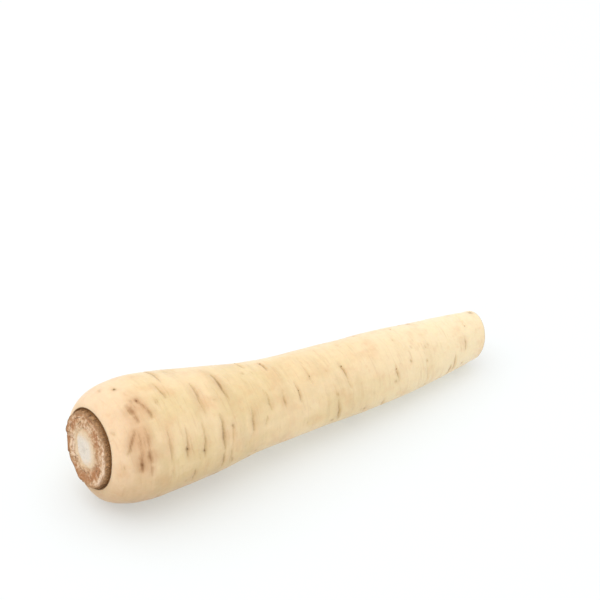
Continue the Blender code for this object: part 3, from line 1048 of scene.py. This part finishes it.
def fibre_tree(look):
    """Stands short dry fibres side by side along a ring, each leaning its own way."""
    tree = Tree("Collar fibres", Count="Int", Height="Float", Width="Float", Seed="Int")
    seed, width = tree.given("Seed"), tree.given("Width")
    curve = tree.value("GeometryNodeMeshToCurve", i0=tree.given("Geometry"))
    spaced = tree.value("GeometryNodeResampleCurve", Curve=curve, Count=tree.given("Count"))
    points = tree.value("GeometryNodeCurveToPoints", {"mode": "EVALUATED"}, Curve=spaced)
    jitter = tree.between([-reach for reach in FIBRE_JITTER], FIBRE_JITTER, seed)
    strewn = tree.value("GeometryNodeSetPosition", i0=points, Offset=jitter)
    bar = tree.value(
        "GeometryNodeMeshCone", None, "Mesh",
        Vertices=5, Side_Segments=3, Radius_Top=FIBRE_END, Radius_Bottom=0.5, Depth=1.0,
    )
    lean = tree.between(*FIBRE_LEAN, seed + 1)
    settings = {"data_type": "FLOAT"}
    tall = tree.value("FunctionNodeRandomValue", settings, 1, i2=FIBRE_SHORTEST, i3=1.0, Seed=seed + 2)
    size = tree.value("ShaderNodeCombineXYZ", i0=width, i1=width, i2=tall * tree.given("Height"))
    placed = tree.value(
        "GeometryNodeInstanceOnPoints", Points=strewn, Instance=bar, Rotation=lean, Scale=size,
    )
    return tree.finish(placed, [(look, True)])


def stub_tree(look):
    """Sets a low ragged stub on every point, turned to the skin, for the rootlets that were rubbed off."""
    tree = Tree("Rootlet stubs", Size="Float", Seed="Int")
    ball = tree.value("GeometryNodeMeshIcoSphere", None, "Mesh", Radius=1.0, Subdivisions=2)
    facing = tree.attribute("facing", "FLOAT_VECTOR")
    turn = tree.value("FunctionNodeAlignRotationToVector", {"axis": "Z"}, Vector=facing)
    size = tree.scaled(tree.between(*STUB_SHAPE, tree.given("Seed")), tree.given("Size"))
    placed = tree.value(
        "GeometryNodeInstanceOnPoints",
        Points=tree.given("Geometry"), Instance=ball, Rotation=turn, Scale=size,
    )
    return tree.finish(placed, [(look, True)])


# Materials


class Shader(Nodes):
    """One material, made of patterns on the piece's own coordinates and attributes."""

    def __init__(self, name):
        self.material = bpy.data.materials.new(name)
        self.material.use_nodes = True
        super().__init__(self.material.node_tree)
        self.surface = self.tree.nodes["Principled BSDF"]
        self.places = self.node("ShaderNodeTexCoord").outputs["Object"]

    def attribute(self, name):
        return self.value("ShaderNodeAttribute", {"attribute_name": name}, "Fac")

    def noise(self, patch, detail=3.0, rough=0.55, distortion=0.0, squeeze=None):
        """Noise between 0 and 1 in patches this many metres long, or longer on an axis squeezed below 1."""
        where = self.places
        if squeeze:
            where = self.node("ShaderNodeMapping", Vector=where, Scale=squeeze).outputs[0]
        return self.value(
            "ShaderNodeTexNoise", Vector=where, Scale=1 / patch, Detail=detail, Roughness=rough,
            Distortion=distortion,
        )

    def blend(self, share, a, b, kind="MIX"):
        """Colour a turning to colour b as share goes from 0 to 1."""
        settings = {"data_type": "RGBA", "blend_type": kind}
        return self.node("ShaderNodeMix", settings, i0=share, i6=a, i7=b).outputs[2]

    def layered(self, base, *layers):
        """The base colour with others laid over it in turn, each given as its share and itself."""
        for share, laid in layers:
            base = self.blend(share, base, laid)
        return base

    def tint(self, shade, factor):
        """The colour made lighter or darker by a varying factor round 1."""
        grey = self.node("ShaderNodeCombineColor", i0=factor, i1=factor, i2=factor).outputs[0]
        return self.blend(1.0, shade, grey, "MULTIPLY")

    def finish(self, shade, roughness, height=None, depth=0.0002, **constants):
        """Ties the patterns to the surface, with relief of this depth in metres where a height is given."""
        if height is not None:
            relief = self.node("ShaderNodeBump", Height=height, Distance=depth, Strength=1.0)
            constants["Normal"] = relief.outputs[0]
        for name, value in {"Base_Color": shade, "Roughness": roughness, **constants}.items():
            self.feed(self.surface, name, value)
        return self.material


def dim(shade, factor):
    """The colour times a plain number."""
    return tuple(part * factor for part in shade)


def skin_look(colours):
    """Cream skin: slow patches, tan halos and brown creases, with faint ring wrinkles, painted shade on its
    lower side and painted light and dark bands round it.
    """
    m = Shader("parsnip_skin")
    along, crease, halo, stain = (m.attribute(name) for name in ("along", "crease", "halo", "stain"))
    tan = tuple(colours.stain)
    clearer = 1 - 0.75 * along.over(0.45, 0.95)

    long_patches = m.noise(0.022, squeeze=(0.45, 1.0, 1.0))
    patches = m.noise(0.011, rough=0.6)
    mottle = m.noise(0.0045, detail=4.0, rough=0.62)
    fine = m.noise(0.0014)
    rings = m.noise(0.0011, distortion=0.4, squeeze=(1.0, 0.09, 0.09))
    bands = m.noise(0.0085, detail=2.0, distortion=0.3, squeeze=(1.0, 0.22, 0.22))
    clean = m.layered(
        colours.cream,
        (long_patches.over(0.40, 0.62), colours.straw),
        (0.85 * (1 - along.over(0.02, 0.15)), colours.blush),
        (0.85 * along.over(0.45, 1.0), colours.tip),
        (0.36 * patches.over(0.48, 0.72), dim(tan, 1.22)),
        (0.28 * bands.over(0.50, 0.70) * clearer, BAND_TAN),
        (0.26 * mottle.over(0.54, 0.76), dim(tan, 1.10)),
        (0.40 * (1 - patches.over(0.30, 0.46)), PALE_PATCH),
        (0.18 * rings.over(0.55, 0.72), tan),
    )

    # Painted shade: the lower side, most of all near the crown, is darkened and warmed as shade and warm
    # bounce light from the floor would make it.
    height_up = m.value("ShaderNodeSeparateXYZ", None, "Z", i0=m.places)
    painted_underside = (1 - height_up.over(0.003, 0.037)) * (1 - along.over(0.05, 0.55))
    clean = m.blend(1.0, clean, m.blend(painted_underside, (1, 1, 1), PAINTED_UNDERSIDE_SHADE), "MULTIPLY")
    # Painted shade: faint lighter and darker bands round the root, painted as the shading of low swellings
    # between the creases. In the tint below, the swelling factor is this painted shade, and the mottle and
    # fine factors are random tone.
    painted_band_shade = m.noise(0.0034, detail=2.0, distortion=0.3, squeeze=(1.0, 0.12, 0.12))
    swelling = 1 + 0.14 * clearer * (painted_band_shade - 0.5)
    clean = m.tint(clean, swelling * (0.94 + 0.12 * mottle) * (0.96 + 0.08 * fine))

    ragged = 0.55 + 0.9 * m.noise(0.0022)
    streaky = m.noise(0.0008, distortion=0.3, squeeze=(1.0, 0.16, 0.16))
    edge = 0.45 * m.noise(0.0009, detail=4.0, rough=0.7) + 0.75 * streaky - 0.6
    soft = (halo + 0.30 * edge * halo.over(0.02, 0.2)).over(0.0, 0.70)
    dark = (crease + 0.62 * edge * crease.over(0.02, 0.2)).over(0.02, 0.62)
    scarred = stain.over(0.05, 0.5)
    brown = m.blend(
        dark, m.blend(scarred, CREASE_EDGE, SCAR_EDGE), m.blend(scarred, colours.crease, SCAR_DEEP),
    )
    marked = m.layered(
        clean,
        (0.64 * (stain * ragged).clamped(), SCAR_TAN),
        (0.62 * soft, dim(tan, 0.92)),
        (0.84 * dark, brown),
    )
    return m.finish(
        marked, 0.47 + 0.16 * mottle + 0.25 * crease,
        0.45 * fine + 0.40 * rings + 0.4 * mottle - 0.3 * crease, depth=0.0003,
        Subsurface_Weight=0.10, Subsurface_Radius=(1.0, 0.55, 0.25), Subsurface_Scale=0.0025,
        IOR=1.42, Sheen_Weight=0.30, Sheen_Roughness=0.5,
    )


def leaf_scar_look(colours):
    """The cut crown: pale core, an irregular brown ring, mottled leaf bases and a dry dark wall."""
    m = Shader("leaf_scar")
    ring, down, grain, gaps, warmth = (
        m.attribute(name) for name in ("ring", "crease", "stain", "halo", "along")
    )
    core, wall = tuple(colours.core), tuple(colours.collar)
    broad, flecks, fine = m.noise(0.0050), m.noise(0.0019, rough=0.65), m.noise(0.0008)
    warm = warmth + 0.55 * (broad - 0.5) + 0.25 * (flecks - 0.5)
    wavy = ring + 0.18 * (broad - 0.5) + 0.06 * (flecks - 0.5)

    middle = m.layered(
        core, (1 - ring.over(0.03, 0.14), dim(core, 0.90)), (wavy.over(0.24, 0.50), FACE_CREAM),
    )
    leaf_bases = m.layered(
        FACE_PALE,
        (warm.over(0.10, 0.48), colours.leaf_base),
        (warm.over(0.48, 0.85), FACE_ORANGE),
        (0.80 * flecks.over(0.50, 0.60), FLECK_BROWN),
        (0.50 * (1 - flecks.over(0.38, 0.47)), FLECK_PALE),
        (0.80 * (gaps + 0.7 * (flecks - 0.5)).over(0.25, 0.80), dim(wall, 0.65)),
    )
    streaks = m.noise(0.0013, squeeze=(0.35, 1.0, 1.0))
    band = m.layered(
        dim(wall, 0.72), (streaks.over(0.35, 0.68), dim(wall, 1.30)), (down.over(0.30, 0.75), FOOT_BROWN),
    )
    line = wavy.over(0.48, 0.56) * (1 - wavy.over(0.58, 0.68)) * warm.over(0.25, 0.80)
    rim = ring.over(0.91, 0.99) * (0.35 + 0.9 * broad)
    cut = m.layered(
        middle,
        (wavy.over(0.48, 0.66), leaf_bases),
        (0.65 * line.clamped(), CORE_LINE),
        (rim.clamped(), dim(wall, 0.90)),
        (ring.over(1.0, 1.35), band),
    )
    return m.finish(
        m.tint(cut, 0.86 + 0.28 * fine), 0.62 + 0.2 * ring.clamped(),
        0.8 * grain + 0.7 * fine * (0.3 + ring) - 0.5 * flecks.over(0.46, 0.60) * ring.over(0.4, 0.6),
        depth=0.0003, Subsurface_Weight=0.05, Subsurface_Radius=(1.0, 0.5, 0.25), Subsurface_Scale=0.0015,
    )


def cut_tip_look(colours):
    """The sliced tip: moist pale flesh, a rosier ring under the skin and a few brown spots at the rim."""
    m = Shader("cut_tip")
    ring, saw = m.attribute("ring"), m.attribute("stain")
    wavy = ring + 0.08 * (m.noise(0.004, detail=2.0) - 0.5)
    flesh = tuple(colours.flesh)
    stops = (
        (0.00, flesh), (0.32, dim(flesh, 0.98)), (0.42, TIP_RING), (0.50, dim(flesh, 0.99)), *TIP_RIM,
    )
    cut = m.node("ShaderNodeValToRGB", {"stops": stops}, Fac=wavy).outputs[0]
    spots = m.noise(0.003, detail=2.0).over(0.60, 0.72) * ring.over(0.72, 0.92)
    rays = m.noise(0.0012, detail=2.0)
    return m.finish(
        m.tint(m.blend(0.7 * spots, cut, TIP_SPOT), 0.92 + 0.16 * rays), 0.42 + 0.2 * rays, 0.6 * saw + rays,
        Subsurface_Weight=0.10, Subsurface_Radius=(1.0, 0.6, 0.3), Subsurface_Scale=0.0025,
    )


def dry_look(name, base, pale):
    """Dry brown fibre, streaked pale and dark."""
    m = Shader(name)
    streaks = m.noise(0.0009, squeeze=(0.4, 1.0, 1.0))
    fibre = m.tint(m.blend(streaks.over(0.35, 0.70), base, pale), 0.8 + 0.4 * m.noise(0.0025, detail=2.0))
    return m.finish(fibre, 0.72 + 0.2 * streaks, streaks, depth=0.0001)


def floor_look(stage):
    m = Shader("floor")
    glow = {"Emission_Color": FLOOR_LIGHT, "Emission_Strength": stage.floor_glow}
    return m.finish(stage.floor_colour, 0.9, **glow)


# Operators


def new_piece(name, mesh):
    piece = bpy.data.objects.new(name, mesh)
    bpy.context.scene.collection.objects.link(piece)
    return piece


def hand_over(piece, replaces=None):
    """Ties a finished piece to the frame."""
    piece.data.shade_smooth()
    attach(piece, "root")
    if replaces:
        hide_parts(replaces)


class PARSNIP_OT_root(bpy.types.Operator):
    """Grows the root: skin with its creases, cut crown and sliced tip, in one closed mesh"""

    bl_idname = "parsnip.root"
    bl_label = "Grow the root"

    def execute(self, context):
        shape, colours = context.scene.parsnip_shape, context.scene.parsnip_colours
        piece = new_piece("parsnip_root", smooth_root(Surface(shape)))
        tree = carving_tree((skin_look(colours), leaf_scar_look(colours), cut_tip_look(colours)))
        settle(piece, tree, {
            "Crease depth": shape.crease_depth, "Unevenness": shape.unevenness,
            "Grain": 1 / (SKIN_GRAIN * MM), "Seed": float(SEED),
        })
        hand_over(piece, "parsnip")
        return {"FINISHED"}


class PARSNIP_OT_fibres(bpy.types.Operator):
    """Stands dry fibres along the wall of the collar of leaf bases"""

    bl_idname = "parsnip.fibres"
    bl_label = "Stand the collar's fibres"

    def execute(self, context):
        shape, colours = context.scene.parsnip_shape, context.scene.parsnip_colours
        surface = Surface(shape)
        stand = np.full(FIBRE_POINTS, FIBRE_STAND)
        ring = surface.on_crown(FIBRE_RING * surface.crown_radius, ring_angles(FIBRE_POINTS), stand)
        mesh = bpy.data.meshes.new("collar_fibres")
        mesh.from_pydata(ring, [(k, (k + 1) % FIBRE_POINTS) for k in range(FIBRE_POINTS)], [])
        piece = new_piece("collar_fibres", mesh)
        look = dry_look("dry_fibre", dim(colours.collar, 0.68), dim(colours.collar, 1.35))
        settle(piece, fibre_tree(look), {
            "Count": shape.fibres, "Height": FIBRE_HEIGHT * MM, "Width": FIBRE_WIDTH * MM, "Seed": SEED,
        })
        hand_over(piece)
        return {"FINISHED"}


class PARSNIP_OT_stubs(bpy.types.Operator):
    """Sets the small stubs of rubbed off rootlets in the creases"""

    bl_idname = "parsnip.stubs"
    bl_label = "Set the rootlet stubs"

    def execute(self, context):
        shape, colours = context.scene.parsnip_shape, context.scene.parsnip_colours
        surface = Surface(shape)
        s, angle = np.array(self.spots()).T
        facings = self.facing(surface, s, angle)
        mesh = bpy.data.meshes.new("rootlet_stubs")
        mesh.from_pydata(surface.on_skin(s, angle) - STUB_SINK * MM * facings, [], [])
        store = mesh.attributes.new("facing", "FLOAT_VECTOR", "POINT").data
        store.foreach_set("vector", facings.astype(np.float32).ravel())
        piece = new_piece("rootlet_stubs", mesh)
        look = dry_look("rootlet_stub", dim(colours.crease, 0.9), dim(colours.crease, 2.0))
        settle(piece, stub_tree(look), {"Size": STUB_RADIUS * MM, "Seed": SEED})
        hand_over(piece)
        return {"FINISHED"}

    @staticmethod
    def spots():
        """Where the stubs stand: on the darkest spots and in some of the solid's creases, none underneath."""
        rng = random.Random(SEED + 60)
        spots = [(s, math.radians(a)) for s, a, _, dark in SHOWN_SPOTS if dark > STUB_DARKNESS]
        for s, middle, spread, _ in solid_creases():
            if rng.random() < STUB_CHANCE and math.sin(middle) > STUB_LOWEST:
                spots.append((s, middle + rng.uniform(-0.6, 0.6) * spread))
        return spots

    @staticmethod
    def facing(surface, s, angle):
        """Outward direction of the skin there."""
        along = surface.on_skin(s + 0.5, angle) - surface.on_skin(s - 0.5, angle)
        around = surface.on_skin(s, angle + 0.02) - surface.on_skin(s, angle - 0.02)
        normal = np.cross(around, along)
        return normal / np.linalg.norm(normal, axis=-1, keepdims=True)


class PARSNIP_OT_stage(bpy.types.Operator):
    """Lays the pale floor and sets the soft lights and the camera"""

    bl_idname = "parsnip.stage"
    bl_label = "Set the stage"

    def execute(self, context):
        stage = context.scene.parsnip_stage
        self.lay_floor(stage)
        self.set_lights(context.scene, stage)
        self.set_camera(context.scene, stage)
        return {"FINISHED"}

    @staticmethod
    def lay_floor(stage):
        half = stage.floor_size / 2
        corners = [(-half, -half, 0), (half, -half, 0), (half, half, 0), (-half, half, 0)]
        mesh = bpy.data.meshes.new("floor")
        mesh.from_pydata(corners, [], [(0, 1, 2, 3)])
        mesh.materials.append(floor_look(stage))
        new_piece("floor", mesh)

    @staticmethod
    def set_lights(scene, stage):
        world = bpy.data.worlds.new("soft surround")
        world.use_nodes = True
        sky = world.node_tree.nodes["Background"]
        sky.inputs["Color"].default_value = (1.0, 1.0, 1.0, 1.0)
        sky.inputs["Strength"].default_value = stage.sky_strength
        scene.world = world
        light = bpy.data.lights.new("soft box", "AREA")
        light.shape = "SQUARE"
        light.size = stage.key_size
        light.energy = stage.key_power
        lamp = bpy.data.objects.new("soft box", light)
        lamp.location = stage.key_place
        lamp.rotation_euler = (-Vector(lamp.location)).to_track_quat("-Z", "Y").to_euler()
        scene.collection.objects.link(lamp)

    @staticmethod
    def set_camera(scene, stage):
        camera = bpy.data.objects.new("camera", bpy.data.cameras.new("camera"))
        camera.data.lens = stage.lens
        camera.data.sensor_width = SENSOR_WIDTH
        camera.location = stage.camera_place
        look = Vector(stage.camera_aim) - Vector(stage.camera_place)
        camera.rotation_euler = look.to_track_quat("-Z", "Y").to_euler()
        scene.collection.objects.link(camera)
        scene.camera = camera
        scene.view_settings.view_transform = "Standard"


class PARSNIP_PT_panel(bpy.types.Panel):
    """Lists the steps that make the parsnip"""

    bl_idname = "PARSNIP_PT_panel"
    bl_label = "Parsnip"
    bl_space_type = "VIEW_3D"
    bl_region_type = "UI"
    bl_category = "Parsnip"

    def draw(self, context):
        for step in STEPS:
            self.layout.operator(step.bl_idname)
        for key in GROUPS:
            group = getattr(context.scene, key)
            box = self.layout.box()
            for name in type(group).__annotations__:
                box.prop(group, name)


GROUPS = {
    "parsnip_shape": ParsnipShape,
    "parsnip_colours": ParsnipColours,
    "parsnip_stage": ParsnipStage,
}
STEPS = (PARSNIP_OT_root, PARSNIP_OT_fibres, PARSNIP_OT_stubs, PARSNIP_OT_stage)
CLASSES = (*GROUPS.values(), *STEPS, PARSNIP_PT_panel)


def register():
    for cls in CLASSES:
        bpy.utils.register_class(cls)
    for key, group in GROUPS.items():
        setattr(bpy.types.Scene, key, bpy.props.PointerProperty(type=group))


def unregister():
    for key in reversed(GROUPS):
        delattr(bpy.types.Scene, key)
    for cls in reversed(CLASSES):
        bpy.utils.unregister_class(cls)


def main():
    register()
    bpy.ops.parsnip.root()
    bpy.ops.parsnip.fibres()
    bpy.ops.parsnip.stubs()
    bpy.ops.parsnip.stage()


if __name__ == "__main__":
    main()
